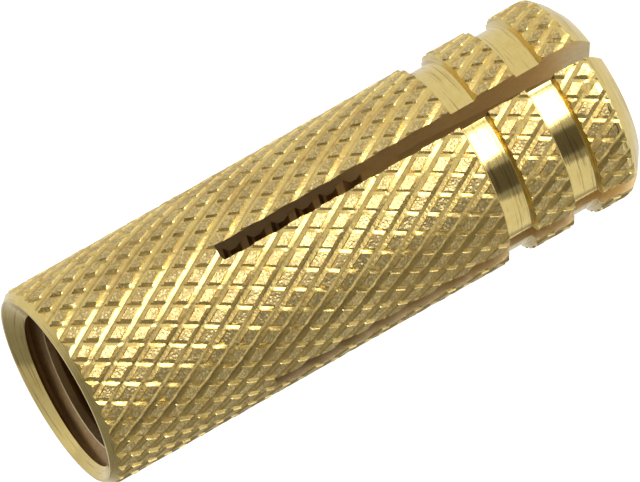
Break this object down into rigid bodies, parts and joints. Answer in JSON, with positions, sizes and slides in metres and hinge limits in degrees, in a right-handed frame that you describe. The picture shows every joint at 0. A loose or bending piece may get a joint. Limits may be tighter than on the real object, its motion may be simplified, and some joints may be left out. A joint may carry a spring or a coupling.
{
  "type": "brass expansion anchor",
  "caption": "Knurled brass sleeve with a threaded bore, ring grooves and a slit end whose leaves spread when a bolt is driven in.",
  "frame": {"origin": "centre of the slit end face, on the axis", "axes": "+Z along the axis, out of the mouth; the two saw cuts lie in the XZ and YZ planes"},
  "size_m": [0.0097, 0.0096, 0.028],
  "materials": {
    "brass": "turned and knurled, bare"
  },
  "bodies": {
    "root": {"anchor_sleeve": "brass"}
  },
  "joints": []
}
